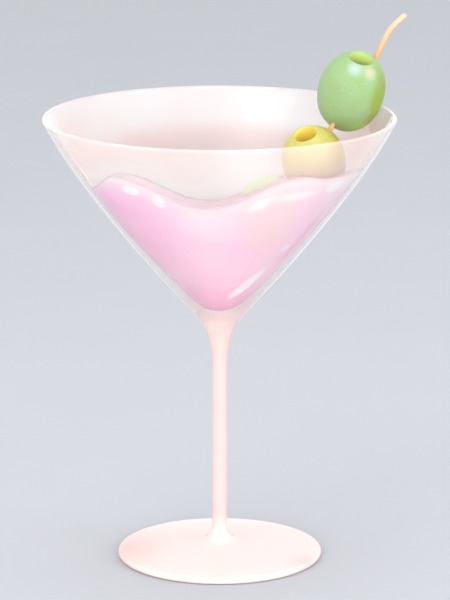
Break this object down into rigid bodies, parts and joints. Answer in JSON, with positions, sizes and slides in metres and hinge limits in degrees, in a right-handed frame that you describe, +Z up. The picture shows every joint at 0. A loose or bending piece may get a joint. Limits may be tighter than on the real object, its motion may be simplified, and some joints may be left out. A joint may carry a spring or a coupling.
{
  "type": "martini cocktail",
  "caption": "Stemmed cone-shaped cocktail glass with a pale pink drink caught in a wave, and pitted green olives on a wooden pick that leans on the rim.",
  "frame": {"origin": "middle of the foot's flat underside, on the glass's own axis", "axes": "+Z up along the stem, +X towards the side that the pick leans to, and the picture looks along +Y"},
  "size_m": [0.1137, 0.11, 0.1712],
  "materials": {
    "glass": "smooth clear glass with a faint blush tint",
    "drink": "slightly cloudy pink liquid",
    "olive_top": "moist mint-green skin",
    "olive_middle": "moist yellow skin",
    "olive_bottom": "moist pale green skin",
    "pick": "plain bamboo"
  },
  "bodies": {
    "root": {"glass": "glass", "drink": "drink", "olive_top": "olive_top", "olive_middle": "olive_middle", "olive_bottom": "olive_bottom", "pick": "pick"}
  },
  "joints": []
}
